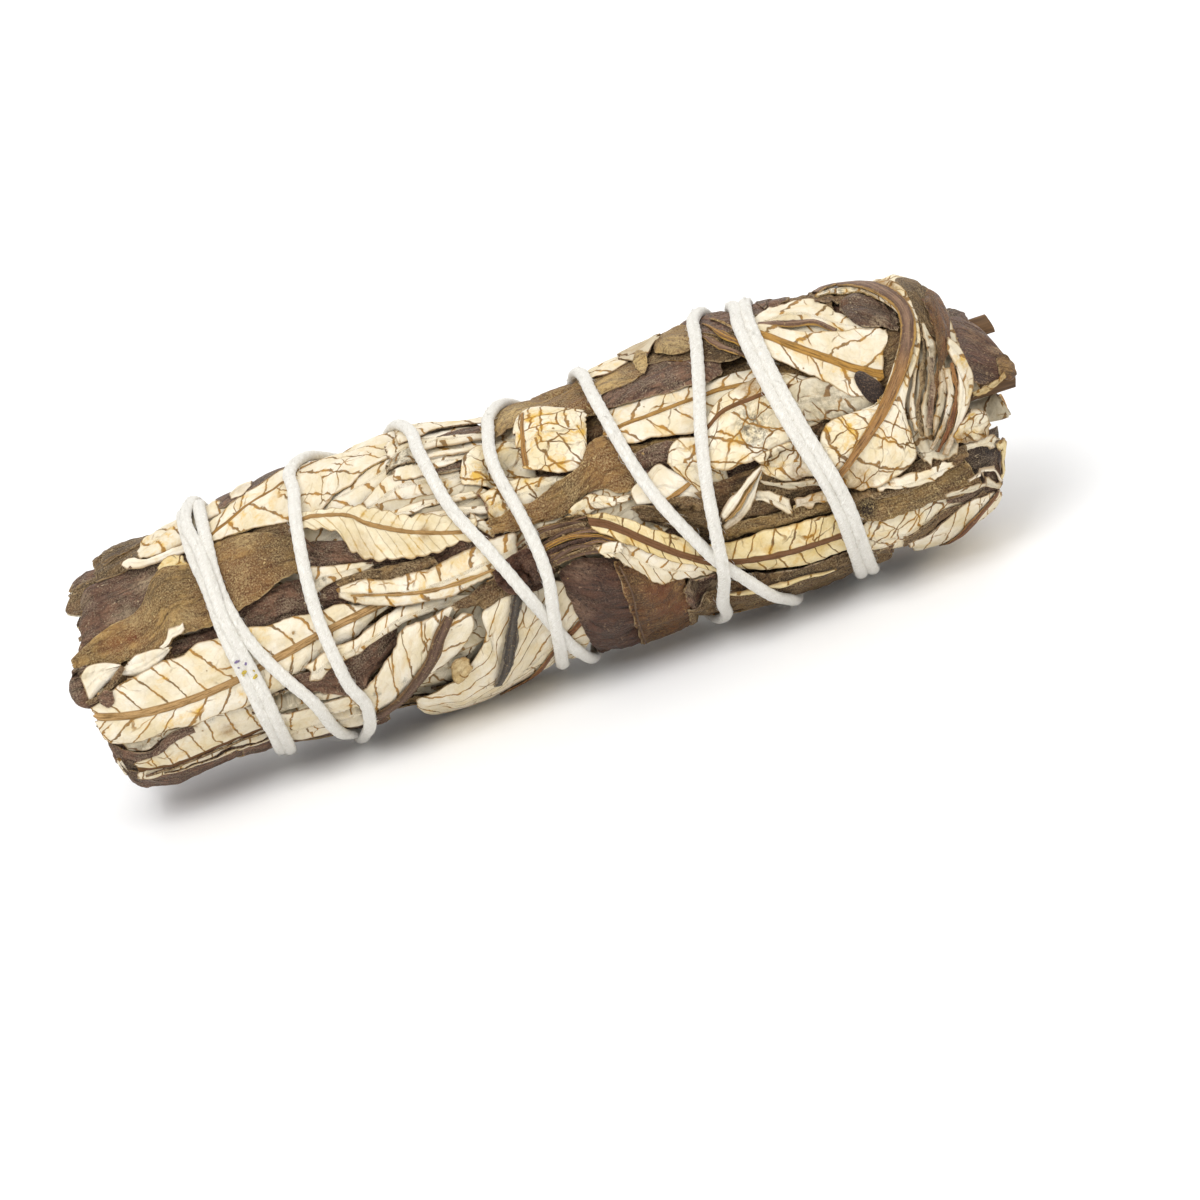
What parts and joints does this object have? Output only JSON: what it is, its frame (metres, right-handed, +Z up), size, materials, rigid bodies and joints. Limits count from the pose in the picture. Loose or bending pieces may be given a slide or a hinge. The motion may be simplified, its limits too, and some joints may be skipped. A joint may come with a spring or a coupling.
{
  "type": "smudge stick",
  "caption": "Dried, leathery leaves with woolly cream undersides, packed round cut stems and bound with white cotton string.",
  "frame": {"origin": "middle of the bundle's footprint, on the table it lies on", "axes": "+X along the stick from its cut end to its folded end, +Z up, -Y the side with the cream leaves and the crossing string"},
  "size_m": [0.1034, 0.037, 0.0341],
  "materials": {
    "cream": "matt, woolly underside of a dried leaf with a net of ochre veins",
    "olive": "matt, felty dried leaf",
    "dark": "satin, resinous upper face of a dried leaf",
    "inner": "matt dried leaf, rolled",
    "leaf": "matt, shrivelled leaf stalk",
    "stem": "matt bark, pale where it is cut",
    "string": "matt twisted cotton"
  },
  "bodies": {
    "root": {"cream_back_leaf_1": "cream", "cream_back_leaf_2": "cream", "cream_back_leaf_3": "cream", "cream_leaf_01": "cream", "cream_leaf_02": "cream", "cream_leaf_03": "cream", "cream_leaf_04": "cream", "cream_leaf_05": "cream", "cream_leaf_06": "cream", "cream_leaf_07": "cream", "cream_leaf_08": "cream", "cream_leaf_09": "cream", "cream_leaf_10": "cream", "cream_leaf_11": "cream", "cream_leaf_12": "cream", "cream_leaf_13": "cream", "cream_leaf_14": "cream", "cream_leaf_15": "cream", "cream_leaf_16": "cream", "cream_leaf_17": "cream", "cream_leaf_18": "cream", "cream_leaf_19": "cream", "cream_leaf_21": "cream", "cream_leaf_22": "cream", "cream_leaf_23": "cream", "cream_leaf_24": "cream", "cream_leaf_25": "cream", "dark_back_leaf_1": "dark", "dark_back_leaf_2": "dark", "dark_leaf_01": "dark", "dark_leaf_02": "dark", "dark_leaf_03": "dark", "dark_leaf_04": "dark", "dark_leaf_05": "dark", "dark_leaf_06": "dark", "dark_leaf_07": "dark", "dark_leaf_08": "dark", "dark_leaf_09": "dark", "dark_under_leaf_1": "dark", "dark_under_leaf_2": "dark", "dark_under_leaf_3": "dark", "dark_under_leaf_4": "dark", "inner_leaf_1": "inner", "inner_leaf_2": "inner", "inner_leaf_3": "inner", "inner_leaf_4": "inner", "leaf_stalk": "leaf", "olive_back_leaf_1": "olive", "olive_back_leaf_2": "olive", "olive_leaf_01": "olive", "olive_leaf_02": "olive", "olive_leaf_03": "olive", "olive_leaf_04": "olive", "olive_leaf_05": "olive", "olive_leaf_06": "olive", "olive_leaf_07": "olive", "stem_1": "stem", "stem_2": "stem", "stem_3": "stem", "string": "string"}
  },
  "joints": []
}
